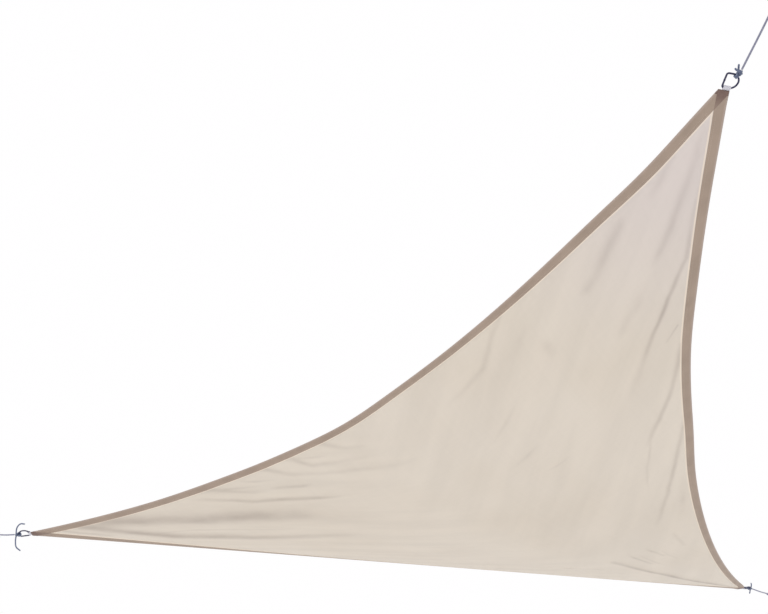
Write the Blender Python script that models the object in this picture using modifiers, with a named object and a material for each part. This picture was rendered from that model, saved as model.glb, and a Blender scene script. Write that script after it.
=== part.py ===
"""Three-cornered tension shade sail, held by a rope at each corner.

The cloth is one curved sheet with a hem, each corner carries a webbing loop and a D-ring, and a rope is
knotted to each ring. The origin is where the high rope's eye takes its hook; +Z is up.
"""

import math
from collections import namedtuple

import bmesh
import bpy
import numpy as np
from mathutils import Matrix, Vector

# Sail, in metres and degrees
SIDE = 3.600  # between corner knots
LEFT_DROP = 1.293  # low corners, below the high one
RIGHT_DROP = 1.581
LEFT_HEADING = 139.9  # from the high corner, about +Z from +X
RIGHT_HEADING = 74.05
BELLY = 0.080  # extra hang at the middle
CLOTH_THICKNESS = 0.0015
HEM_WIDTH = 0.034
HEM_THICKNESS = 0.0030
HEM_STEP = 0.003
GRID = 20  # cells along each side of a corner's patch

# Corner hardware
WIRE_RADIUS = 0.00275
RING_LENGTH = 0.046  # wire centres, along the straight bar
RING_DEPTH = 0.040
RING_CORNER = 0.006
RING_BAR_OFFSET = 0.0095  # straight bar, beside the line of pull
WEBBING_WIDTH = 0.022
WEBBING_THICKNESS = 0.0015
WEBBING_OFFSET = -0.005
WEBBING_SLACK = 0.0028  # room for the wire's bend inside the loop
TIP_TO_WIRE = 0.0075
MOUTH_GAP = 0.001  # between the hem's end and the webbing's legs

# Rope
ROPE_RADIUS = 0.003
KNOT_RADIUS = 0.0085
KNOT_REACH = 0.012  # knot centre, from the ring's wire
EYE_RADIUS = 0.020
EYE_KNOT_RADIUS = 0.008
ROPE_SAG = 0.002

GAP = 0.0003
CORNERS = ("high", "left", "right")

# Each edge, from its first corner to its second: how far its middle bows in and hangs down, how much of
# each moves towards the first corner, the edge's small waves as place, half length and depth inwards, and
# where its hem narrows as place, half length and share of the width.
Edge = namedtuple("Edge", "start end bow sag bow_lean sag_lean waves narrowings")
EDGES = (
    Edge("high", "left", 0.366, 0.049, -0.210, 0.103,
         ((0.10, 0.05, 0.009), (0.55, 0.07, 0.014), (0.75, 0.07, -0.007)), ((0.42, 0.25, 0.26),)),
    Edge("left", "right", 0.210, 0.095, -0.200, -0.092, (), ((0.50, 0.35, 0.45),)),
    Edge("right", "high", 0.197, 0.253, -0.043, -0.013,
         ((0.015, 0.02, 0.010), (0.60, 0.06, -0.0065), (0.74, 0.06, 0.005), (0.985, 0.03, 0.003)), ((0.10, 0.40, 0.20),)),
)

# How far out each corner is cut, from the line where its hems cross to the corner: on each side of the pull.
TIP_CUTS = {"high": (0.07, 0.11), "left": (0.26, 0.26), "right": (0.02, 0.02)}

# Degrees that each knot sits round the ring's bend.
KNOT_TURNS = {"high": 30, "left": 0, "right": 0}

# Soft folds: each end as its shares of the left and right corners, half width, and rise to the top face.
Fold = namedtuple("Fold", "left_1 right_1 left_2 right_2 width rise")
FOLDS = (
    Fold(0.02, 0.10, 0.06, 0.20, 0.060, -0.010),
    Fold(0.03, 0.04, 0.07, 0.11, 0.060, -0.008),
    Fold(0.12, 0.03, 0.16, 0.07, 0.060, -0.010),
    Fold(0.08, 0.12, 0.11, 0.16, 0.070, -0.008),
    Fold(0.02, 0.27, 0.07, 0.34, 0.060, -0.010),
    Fold(0.02, 0.37, 0.07, 0.52, 0.060, -0.010),
    Fold(0.19, 0.61, 0.04, 0.93, 0.060, -0.010),
    Fold(0.91, 0.02, 0.57, 0.19, 0.060, -0.010),
    Fold(0.92, 0.02, 0.58, 0.24, 0.060, -0.010),
    Fold(0.76, 0.03, 0.60, 0.12, 0.060, -0.010),
    Fold(0.30, 0.02, 0.38, 0.07, 0.070, -0.008),
)

# Ropes: direction of pull, and how far the hooking point of the eye is from the corner.
Rope = namedtuple("Rope", "pull run tails")
# Free ends at a knot, from its centre: metres along the pull, sideways and across the ring's face.
ROPES = {
    "high": Rope((0.345, -0.642, 0.685), 0.300, (
        ((0.002, 0.006, 0.002), (0.007, 0.013, 0.004), (0.012, 0.021, 0.003)),
        ((0.002, 0.005, -0.005), (0.012, 0.008, -0.007), (0.022, 0.011, -0.006)),
    )),
    "left": Rope((-0.9996, 0.0287, 0.0), 0.165, (
        ((-0.002, -0.006, -0.003), (-0.006, -0.022, -0.018), (-0.022, -0.030, -0.032), (-0.044, -0.028, -0.030)),
        ((0.004, 0.006, 0.004), (0.010, 0.020, 0.020), (0.008, 0.032, 0.042), (-0.010, 0.042, 0.058)),
    )),
    "right": Rope((0.596, 0.792, -0.136), 0.335, (
        ((0.000, 0.004, -0.006), (0.002, 0.008, -0.017), (-0.002, 0.010, -0.026)),
        ((0.002, -0.004, 0.006), (0.004, -0.006, 0.016), (0.002, -0.008, 0.026)),
    )),
}

UP = np.array([0.0, 0.0, 1.0])


def unit(vector):
    vector = np.asarray(vector, float)
    return vector / np.linalg.norm(vector)


def corner_points():
    """The three corners, at the rope knots. The high rope's eye is hooked at the origin."""
    high = -ROPES["high"].run * unit(ROPES["high"].pull)
    points = {"high": high}
    for name, drop, heading in (("left", LEFT_DROP, LEFT_HEADING), ("right", RIGHT_DROP, RIGHT_HEADING)):
        run = math.sqrt(SIDE**2 - drop**2)
        angle = math.radians(heading)
        points[name] = high + np.array([run * math.cos(angle), run * math.sin(angle), -drop])
    return points


POINTS = corner_points()
TOP_FACE = unit(np.cross(POINTS["right"] - POINTS["high"], POINTS["left"] - POINTS["high"]))


def edge_vectors(edge):
    """The way in from an edge, the displacement at its middle, and the lean of that towards the first corner."""
    start, end = POINTS[edge.start], POINTS[edge.end]
    third = POINTS[next(name for name in CORNERS if name not in (edge.start, edge.end))]
    along = unit(end - start)
    inward = third - (start + end) / 2
    inward = unit(inward - inward.dot(along) * along)
    return inward, edge.bow * inward - edge.sag * UP, edge.bow_lean * inward - edge.sag_lean * UP


def edge_shift(edge, start, end):
    """How an edge moves the cloth: its bow and hang over the whole sail, and its small waves close by."""
    inward, middle, lean = edge_vectors(edge)
    shift = 4 * start * end * (middle + (start - end) * lean)
    place = end / np.maximum(start + end, 1e-6)
    for where, reach, depth in edge.waves:
        shift = shift + depth * np.exp(-(((place - where) / reach) ** 2)) * (start + end) ** 8 * inward
    return shift


def fold_height(shares):
    """How far the folds lift the cloth towards its top face, fading out towards the hems."""
    tall = SIDE * math.sqrt(3) / 2
    flat = np.stack([SIDE * (shares[1] + shares[2] / 2), tall * shares[2]], -1)
    height = np.zeros(shares[0].shape)
    for fold in FOLDS:
        start = np.array([SIDE * (fold.left_1 + fold.right_1 / 2), tall * fold.right_1])
        end = np.array([SIDE * (fold.left_2 + fold.right_2 / 2), tall * fold.right_2])
        along = end - start
        place = np.clip((flat - start) @ along / along.dot(along), 0, 1)
        away = np.linalg.norm(flat - start - place[..., None] * along, axis=-1)
        height += fold.rise * np.exp(-((away / fold.width) ** 2)) * np.sin(math.pi * (0.15 + 0.7 * place))
    from_edge = tall * np.min(shares, axis=0)
    return height * (1 - np.exp(-((from_edge / 0.10) ** 2)))


def cloth_point(shares):
    """The middle of the cloth, for arrays of shares of the high, left and right corner."""
    high, left, right = (np.asarray(share, float) for share in shares)
    share_of = {"high": high, "left": left, "right": right}
    point = sum(share_of[name][..., None] * POINTS[name] for name in CORNERS)
    for edge in EDGES:
        point = point + edge_shift(edge, share_of[edge.start][..., None], share_of[edge.end][..., None])
    point = point - 27 * (high * left * right)[..., None] * BELLY * UP
    return point + fold_height(np.stack([high, left, right]))[..., None] * TOP_FACE


def hem_scale(edge, place):
    """Width of an edge's hem at places along it, as a share of the full width."""
    return 1 - sum(share * np.exp(-(((place - where) / reach) ** 2)) for where, reach, share in edge.narrowings)


def hem_reach(corner, neighbour, ratio):
    """Metres of cloth, square to an edge, for each unit of the third corner's share."""
    position = ratio / (1 + ratio)
    index, other = CORNERS.index(corner), CORNERS.index(neighbour)
    third = 3 - index - other
    small = 1e-4

    def at(along, across):
        shares = [None] * 3
        shares[index] = (1 - along) * (1 - across)
        shares[other] = along * (1 - across)
        shares[third] = across + 0 * along
        return cloth_point(shares)

    inward = (at(position, small) - at(position, 0)) / small
    along = at(position + small, 0) - at(position - small, 0)
    along /= np.linalg.norm(along, axis=-1)[..., None]
    square = inward - (inward * along).sum(-1)[..., None] * along
    return np.linalg.norm(square, axis=-1)


def patch_rows(corner, neighbour, ratio, cells):
    """Row positions of a corner's patch: edge, inner line of the hem, its step, then even rows."""
    reach = hem_reach(corner, neighbour, ratio)
    edge = next(edge for edge in EDGES if {edge.start, edge.end} == {corner, neighbour})
    place = ratio / (1 + ratio)
    wide = HEM_WIDTH * hem_scale(edge, place if edge.start == corner else 1 - place)
    hem = wide * (1 + ratio) / (reach - wide)
    wide = wide + HEM_STEP
    step = wide * (1 + ratio) / (reach - wide)
    row = np.arange(cells + 1)
    even = step + (1 - step) * np.clip(row - 2, 0, None) / (cells - 2)
    return np.where(row == 0, 0, np.where(row == 1, hem, even))


def patch_shares(corner, cells):
    """Shares of the grid points of the patch between a corner, its two edge middles and the sail's middle."""
    index = CORNERS.index(corner)
    follower, leader = CORNERS[(index + 1) % 3], CORNERS[(index + 2) % 3]
    across = np.tile(np.linspace(0, 1, cells + 1), (cells + 1, 1))
    along = across.T.copy()
    for _ in range(20):
        along = patch_rows(corner, leader, across.T, cells).T
        across = patch_rows(corner, follower, along, cells)
    shares = [None] * 3
    whole = 1 + along + across
    shares[index] = 1 / whole
    shares[CORNERS.index(follower)] = along / whole
    shares[CORNERS.index(leader)] = across / whole
    return np.stack(shares)


def tip_ends(corner, grid):
    """The two ends of the straight cut across a corner."""
    first, second = TIP_CUTS[corner]
    return grid[1, 0] + first * (grid[0, 0] - grid[1, 0]), grid[0, 1] + second * (grid[0, 0] - grid[0, 1])


def corner_frame(corner):
    """Axes at a corner's knot: pull from the tip outwards, sideways along the tip, and across the face."""
    grid = cloth_point(patch_shares(corner, GRID))
    tip_1, tip_2 = tip_ends(corner, grid)
    if corner == "right":
        tip_1, tip_2 = tip_2, tip_1
    tip = (tip_1 + tip_2) / 2
    side = unit(tip_1 - tip_2)
    pull = POINTS[corner] - tip
    pull = pull - pull.dot(side) * side
    length = float(np.linalg.norm(pull))
    pull = pull / length
    axes = np.stack([pull, side, np.cross(pull, side), tip + length * pull], axis=1)
    return Matrix([*axes.tolist(), (0, 0, 0, 1)]), length


def knot_frame(corner, frame, far_wire, low):
    """Axes at the centre of a ring's knot, square to the wire there: outwards, along the wire and across the face."""
    turned = Matrix.Rotation(-math.radians(KNOT_TURNS[corner]), 4, "Z")
    bend = Matrix.Translation((far_wire - RING_LENGTH / 2, low, 0))
    return frame @ bend @ turned @ Matrix.Translation((RING_LENGTH / 2 + KNOT_REACH, 0, 0))


def turned_tail(corner, tail):
    """A free end's points, given along the pull and sideways, in the knot's own axes."""
    turn = Matrix.Rotation(math.radians(KNOT_TURNS[corner]), 3, "Z")
    return [tuple(turn @ Vector(point)) for point in tail]


def make_material(name, colour, roughness, metallic=0.0):
    material = bpy.data.materials.new(name)
    material.use_nodes = True
    shader = material.node_tree.nodes["Principled BSDF"]
    shader.inputs["Base Color"].default_value = (*colour, 1)
    shader.inputs["Roughness"].default_value = roughness
    shader.inputs["Metallic"].default_value = metallic
    return material


def add_object(name, data, material, collection, place=None):
    data.materials.append(material)
    item = bpy.data.objects.new(name, data)
    if place is not None:
        item.matrix_world = place
    collection.objects.link(item)
    return item


def make_sail(material, collection):
    """One grid for each corner, moved onto the cloth's surface and welded, then thickened."""
    mesh = bpy.data.meshes.new("sail_cloth")
    bm = bmesh.new()
    hem_points = []
    for corner in CORNERS:
        place = cloth_point(patch_shares(corner, GRID))
        made = bmesh.ops.create_grid(bm, x_segments=GRID, y_segments=GRID, size=GRID / 2)["verts"]
        cells = {(round(v.co.x + GRID / 2), round(v.co.y + GRID / 2)): v for v in made}
        for (i, j), vert in cells.items():
            vert.co = place[i, j]
            if min(i, j) <= 1:
                hem_points.append(vert.co.copy())
        # The corner is cut straight across, outside the place where the two hems cross.
        tips = [bm.verts.new(end) for end in tip_ends(corner, place)]
        hem_points += [tip.co.copy() for tip in tips]
        bm.faces.new((cells[1, 0], tips[0], tips[1], cells[0, 1]))
        bm.faces.new((cells[1, 0], cells[0, 1], cells[1, 1]))
        bmesh.ops.delete(bm, geom=[cells[0, 0]], context="VERTS")
    bmesh.ops.remove_doubles(bm, verts=bm.verts, dist=1e-5)
    bmesh.ops.recalc_face_normals(bm, faces=bm.faces)
    bm.faces.ensure_lookup_table()
    if bm.faces[0].normal.dot(Vector(TOP_FACE)) < 0:
        bmesh.ops.reverse_faces(bm, faces=bm.faces)
    bm.to_mesh(mesh)
    bm.free()
    mesh.shade_smooth()
    sail = add_object("sail_cloth", mesh, material, collection)
    group = sail.vertex_groups.new(name="hem")
    known = {tuple(round(c, 5) for c in point) for point in hem_points}
    hem = [v.index for v in mesh.vertices if tuple(round(c, 5) for c in v.co) in known]
    group.add(hem, 1.0, "REPLACE")
    solid = sail.modifiers.new("thickness", "SOLIDIFY")
    solid.thickness = HEM_THICKNESS
    solid.offset = 0
    solid.vertex_group = "hem"
    solid.thickness_vertex_group = CLOTH_THICKNESS / HEM_THICKNESS


def arc(centre, radius, first, last, count):
    for step in range(count + 1):
        angle = math.radians(first + (last - first) * step / count)
        yield centre[0] + radius * math.cos(angle), centre[1] + radius * math.sin(angle)


def ring_outline(far_wire):
    """Centre line of the D: a straight bar with two round corners, and a half round on the other side."""
    round_radius = RING_LENGTH / 2
    middle = far_wire - round_radius
    low = RING_BAR_OFFSET - RING_DEPTH + round_radius
    bar = RING_BAR_OFFSET - RING_CORNER
    ends = round_radius - RING_CORNER
    yield from arc((middle + ends, bar), RING_CORNER, 0, 90, 4)
    yield from arc((middle - ends, bar), RING_CORNER, 90, 180, 4)
    yield from arc((middle, low), round_radius, 180, 360, 14)


def tube(name, points, radius, material, collection, place, cyclic=False):
    curve = bpy.data.curves.new(name, "CURVE")
    curve.dimensions = "3D"
    curve.bevel_depth = radius
    curve.bevel_resolution = 2
    curve.use_fill_caps = True
    spline = curve.splines.new("POLY")
    spline.points.add(len(points) - 1)
    for point, co in zip(spline.points, points):
        point.co = (*co, 1)
    spline.use_cyclic_u = cyclic
    return add_object(name, curve, material, collection, place)


def smooth_route(points, spacing):
    """Points at an even spacing on a smooth curve through the given ones."""
    points = [np.asarray(point, float) for point in points]
    padded = [2 * points[0] - points[1], *points, 2 * points[-1] - points[-2]]
    fine = []
    for p0, p1, p2, p3 in zip(padded, padded[1:], padded[2:], padded[3:]):
        for t in np.linspace(0, 1, 20, endpoint=False):
            fine.append(0.5 * (2 * p1 + (p2 - p0) * t + (2 * p0 - 5 * p1 + 4 * p2 - p3) * t**2
                               + (3 * p1 - p0 - 3 * p2 + p3) * t**3))
    fine.append(points[-1])
    fine = np.array(fine)
    run = np.concatenate([[0], np.cumsum(np.linalg.norm(np.diff(fine, axis=0), axis=1))])
    even = np.linspace(0, run[-1], max(2, round(run[-1] / spacing)) + 1)
    return np.stack([np.interp(even, run, fine[:, axis]) for axis in range(3)], -1)


def make_ring(corner, frame, far_wire, material, collection):
    outline = [(along, side, 0) for along, side in ring_outline(far_wire)]
    tube(f"d_ring_{corner}", outline, WIRE_RADIUS, material, collection, frame, cyclic=True)


def make_webbing(corner, frame, tip, near_wire, material, collection):
    """A strap folded round the ring's wire, its two legs ending at the mouth of the hem."""
    leg = (WEBBING_THICKNESS + GAP) / 2
    turn = WIRE_RADIUS + GAP + WEBBING_THICKNESS / 2
    path = [(-tip + MOUTH_GAP, leg), (-tip + 0.002, leg)]
    path += list(arc((near_wire, 0), turn, 115, 90, 3))
    path += list(arc((near_wire + WEBBING_SLACK, 0), turn, 90, -90, 12))
    path += list(arc((near_wire, 0), turn, -90, -115, 3))
    path += [(along, -height) for along, height in path[1::-1]]
    bm = bmesh.new()
    low = [bm.verts.new((a, WEBBING_OFFSET - WEBBING_WIDTH / 2, c)) for a, c in path]
    edges = [bm.edges.new(pair) for pair in zip(low, low[1:])]
    made = bmesh.ops.extrude_edge_only(bm, edges=edges)["geom"]
    top = [item for item in made if isinstance(item, bmesh.types.BMVert)]
    bmesh.ops.translate(bm, verts=top, vec=(0, WEBBING_WIDTH, 0))
    mesh = bpy.data.meshes.new(f"webbing_loop_{corner}")
    bm.to_mesh(mesh)
    bm.free()
    loop = add_object(f"webbing_loop_{corner}", mesh, material, collection, frame)
    solid = loop.modifiers.new("thickness", "SOLIDIFY")
    solid.thickness = WEBBING_THICKNESS
    solid.offset = 0
    solid.use_even_offset = True


def joined(name, pieces, material, collection):
    """One solid from pieces that overlap: the first keeps a Boolean union with each of the others."""
    first, *others = pieces
    for other in others:
        cut = first.modifiers.new(other.name, "BOOLEAN")
        cut.operation = "UNION"
        cut.object = other
        bpy.context.view_layer.update()
        graph = bpy.context.evaluated_depsgraph_get()
        mesh = bpy.data.meshes.new_from_object(first.evaluated_get(graph))
        first.modifiers.clear()
        first.data = mesh
    for other in others:
        bpy.data.objects.remove(other)
    first.name = name
    first.data.name = name
    first.data.materials.clear()
    first.data.materials.append(material)
    return first


def torus(name, radius, thickness, centre, axis_turn, frame, material, collection):
    bpy.ops.mesh.primitive_torus_add(major_radius=radius, minor_radius=thickness,
                                     major_segments=20, minor_segments=8)
    item = bpy.context.object
    item.name = name
    item.matrix_world = frame @ Matrix.Translation(centre) @ axis_turn
    for owner in item.users_collection:
        owner.objects.unlink(item)
    collection.objects.link(item)
    item.data.materials.append(material)
    return item


def ball(name, size, centre, frame, material, collection):
    mesh = bpy.data.meshes.new(name)
    bm = bmesh.new()
    bmesh.ops.create_uvsphere(bm, u_segments=14, v_segments=8, radius=1)
    bmesh.ops.scale(bm, verts=bm.verts, vec=size)
    bm.to_mesh(mesh)
    bm.free()
    return add_object(name, mesh, material, collection, frame @ Matrix.Translation(centre))


def solid_tube(name, points, material, collection, frame):
    """A rope's tube as a welded mesh, so that it can be joined to a knot."""
    source = tube(name, points, ROPE_RADIUS, material, collection, frame)
    bpy.context.view_layer.update()
    graph = bpy.context.evaluated_depsgraph_get()
    mesh = bpy.data.meshes.new_from_object(source.evaluated_get(graph))
    bm = bmesh.new()
    bm.from_mesh(mesh)
    bmesh.ops.remove_doubles(bm, verts=bm.verts, dist=1e-6)
    bmesh.ops.recalc_face_normals(bm, faces=bm.faces)
    bm.to_mesh(mesh)
    bm.free()
    item = bpy.data.objects.new(name, mesh)
    item.matrix_world = frame
    collection.objects.link(item)
    bpy.data.objects.remove(source)
    return item


def make_ring_knot(corner, frame, far_wire, low, material, collection):
    """Two turns round the ring's wire, the knot outside it, and the two free ends."""
    name = f"ring_knot_{corner}"
    turn = WIRE_RADIUS + ROPE_RADIUS + 0.0004
    to_wire = Matrix.Rotation(math.radians(90), 4, "X")
    frame = knot_frame(corner, frame, far_wire, low)
    pieces = [ball(name, (KNOT_RADIUS, KNOT_RADIUS, KNOT_RADIUS), Vector(), frame, material, collection)]
    for number, shift in enumerate((-0.0031, 0.0031)):
        centre = Vector((-KNOT_REACH, shift, 0))
        pieces.append(torus(f"turn_{number}", turn, ROPE_RADIUS, centre, to_wire, frame, material, collection))
    for number, tail in enumerate(ROPES[corner].tails):
        route = smooth_route([(0, 0, 0), *turned_tail(corner, tail)], 0.006)
        pieces.append(solid_tube(f"tail_{number}", route, material, collection, frame))
    return joined(name, pieces, material, collection)


def make_rope(corner, frame, far_wire, low, material, collection):
    """The taut run from the ring's knot to the eye's knot, and the eye that takes the hook."""
    knot = np.array(knot_frame(corner, frame, far_wire, low).translation)
    hook = POINTS[corner] + ROPES[corner].run * unit(ROPES[corner].pull)
    pull = unit(hook - knot)
    eye_knot = hook - (2 * EYE_RADIUS + EYE_KNOT_RADIUS * 0.8) * pull
    start = knot + (KNOT_RADIUS + GAP) * pull
    end = eye_knot - (EYE_KNOT_RADIUS + GAP) * pull
    middle = (start + end) / 2 - ROPE_SAG * UP
    route = smooth_route([start, middle, end], 0.015)
    tube(f"rope_{corner}", route, ROPE_RADIUS, material, collection, Matrix())
    side = unit(np.cross(UP, pull))
    axes = np.stack([pull, side, np.cross(pull, side), eye_knot], axis=1)
    place = Matrix([*axes.tolist(), (0, 0, 0, 1)])
    size = (EYE_KNOT_RADIUS, EYE_KNOT_RADIUS, EYE_KNOT_RADIUS)
    name = f"rope_eye_{corner}"
    centre = Vector((2 * EYE_RADIUS + EYE_KNOT_RADIUS * 0.8 - EYE_RADIUS + ROPE_RADIUS, 0, 0))
    pieces = [
        ball(name, size, Vector(), place, material, collection),
        torus("eye", EYE_RADIUS, ROPE_RADIUS, centre, Matrix(), place, material, collection),
    ]
    return joined(name, pieces, material, collection)


def clear_scene():
    for item in list(bpy.data.objects):
        bpy.data.objects.remove(item)


def main():
    clear_scene()
    collection = bpy.data.collections.new("shade_sail")
    bpy.context.scene.collection.children.link(collection)
    cloth = make_material("polyester cloth", (0.70, 0.64, 0.57), 0.85)
    webbing = make_material("polyester webbing", (0.80, 0.79, 0.82), 0.8)
    steel = make_material("dark polished steel", (0.16, 0.16, 0.22), 0.2, 1.0)
    cord = make_material("braided cord", (0.50, 0.50, 0.60), 0.75)
    make_sail(cloth, collection)
    for corner in CORNERS:
        frame, tip = corner_frame(corner)
        near_wire = -tip + TIP_TO_WIRE
        far_wire = near_wire + RING_LENGTH
        low = RING_BAR_OFFSET - RING_DEPTH + RING_LENGTH / 2
        make_ring(corner, frame, far_wire, steel, collection)
        make_webbing(corner, frame, tip, near_wire, webbing, collection)
        make_ring_knot(corner, frame, far_wire, low, cord, collection)
        make_rope(corner, frame, far_wire, low, cord, collection)


main()
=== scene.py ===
"""Finish of a three-cornered shade sail: cloth with stitched hems, rings in webbing loops and braided ropes.

The sail is seen from below. The shape of the cloth and the routes of the ropes are those of the solid model.
"""

import math
from collections import namedtuple

import bmesh
import bpy
import numpy as np
from mathutils import Matrix, Vector


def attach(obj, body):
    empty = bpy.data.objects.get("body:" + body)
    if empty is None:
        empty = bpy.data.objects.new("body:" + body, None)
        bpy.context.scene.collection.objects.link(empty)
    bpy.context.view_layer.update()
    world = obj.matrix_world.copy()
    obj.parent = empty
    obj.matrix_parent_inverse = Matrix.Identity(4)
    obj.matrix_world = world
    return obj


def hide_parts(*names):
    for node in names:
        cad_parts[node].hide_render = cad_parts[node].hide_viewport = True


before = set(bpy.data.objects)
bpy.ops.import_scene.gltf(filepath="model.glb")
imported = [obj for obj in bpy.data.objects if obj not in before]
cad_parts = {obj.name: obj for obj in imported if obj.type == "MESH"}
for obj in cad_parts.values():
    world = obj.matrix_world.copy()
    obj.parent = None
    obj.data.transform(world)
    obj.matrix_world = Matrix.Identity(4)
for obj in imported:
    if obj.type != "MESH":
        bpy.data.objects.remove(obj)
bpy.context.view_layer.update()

# Sail, in metres and degrees
SIDE = 3.600
LEFT_DROP = 1.293
RIGHT_DROP = 1.581
LEFT_HEADING = 139.9
RIGHT_HEADING = 74.05
BELLY = 0.080
CLOTH_THICKNESS = 0.0015
TIP_THICKNESS = 0.0045
HEM_WIDTH = 0.034
HEM_ROWS = (0.002, 0.006, 0.012, 0.019, 0.026, 0.031, HEM_WIDTH, HEM_WIDTH + 0.0015)
HEM_LAYERS = 0.45  # share of the tip's extra thickness that each hem adds
TIP_FOLD = 0.015  # length of the folded-back corner
CELLS = 118

# Slack in the cloth: shallow dips along the creases, and soft lifts in between
CREASE_DIP = 0.005
CREASE_DIP_SPREAD = 0.018
CREASE_FADE = 0.06  # distance from the edge over which both die out
LIFTS = 40
LIFT_HEIGHT = 0.0015
LEFT_PART = 1.9  # where on the sail laid flat the lifts turn towards the left corner
LIFT_HEADING = (36, 9)
LEFT_LIFT_HEADING = (150, 6)

# Stitching
STITCH_PITCH = 0.006
STITCH_SIZE = (0.0021, 0.00042, 0.00038)
STITCH_INSETS = (0.0255, 0.0305)
STITCHED = (0.022, 0.978)  # first and last share of an edge that has stitches

# Corner hardware
WIRE_RADIUS = 0.00275
RING_LENGTH = 0.046
RING_DEPTH = 0.040
RING_CORNER = 0.006
RING_BAR_OFFSET = 0.0095
WELD = ((0.0010, 1.12), (0.0012, 1.06), (0.0012, 1 / 1.06), (0.0010, 1 / 1.12))  # lengths, and how they swell
WEBBING_WIDTH = 0.022
WEBBING_THICKNESS = 0.0015
WEBBING_OFFSET = -0.005
WEBBING_SLACK = 0.0028
TIP_TO_WIRE = 0.0075
MOUTH_GAP = 0.001

# Rope
ROPE_RADIUS = 0.003
KNOT_RADIUS = 0.0085
KNOT_REACH = 0.012
WIRE_TURNS, WIRE_TURN_PITCH = 2, -0.0058
HITCH_START, HITCH_RADIUS, HITCH_TURNS, HITCH_PITCH = -0.0036, 0.0050, 1.6, 0.0047
EYE_RADIUS = 0.020
EYE_KNOT_RADIUS = 0.008
EYE_HITCH_START, EYE_HITCH_RADIUS, EYE_HITCH_TURNS, EYE_HITCH_PITCH = 0.0052, 0.0051, 2.1, -0.0046
ROPE_SAG = 0.002
STRAND_PAIRS = 6  # strands of the braid in each direction
BRAID_PITCH = 0.0032
BRAID_STEP = 0.0009
BRAID_RISE = (0.90, 0.14)  # radius between the strands, and how much the strands add, as shares of the rope's
SEALED_LENGTH = 0.0025
PATH_STEP = 0.008

GAP = 0.0003
CORNERS = ("high", "left", "right")
UP = np.array([0.0, 0.0, 1.0])

# An edge bows inwards and sags, and both lean towards its first corner. Each small wave gives its place, half
# length and depth inwards, and each narrowing of the hem its place, half length and the share of width lost.
Edge = namedtuple("Edge", "start end bow sag bow_lean sag_lean waves narrowings")
EDGES = (
    Edge("high", "left", 0.366, 0.049, -0.210, 0.103,
         ((0.10, 0.05, 0.009), (0.55, 0.07, 0.014), (0.75, 0.07, -0.007)), ((0.42, 0.25, 0.26),)),
    Edge("left", "right", 0.210, 0.095, -0.200, -0.092, (), ((0.50, 0.35, 0.45),)),
    Edge("right", "high", 0.197, 0.253, -0.043, -0.013,
         ((0.015, 0.02, 0.010), (0.60, 0.06, -0.0065), (0.74, 0.06, 0.005), (0.985, 0.03, 0.003)),
         ((0.10, 0.40, 0.20),)),
)

# How far out each corner is cut, from the line where its hems cross to the corner: on each side of the pull.
TIP_CUTS = {"high": (0.07, 0.11), "left": (0.26, 0.26), "right": (0.02, 0.02)}

# Degrees that each knot sits round the ring's bend.
KNOT_TURNS = {"high": 30, "left": 0, "right": 0}

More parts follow.
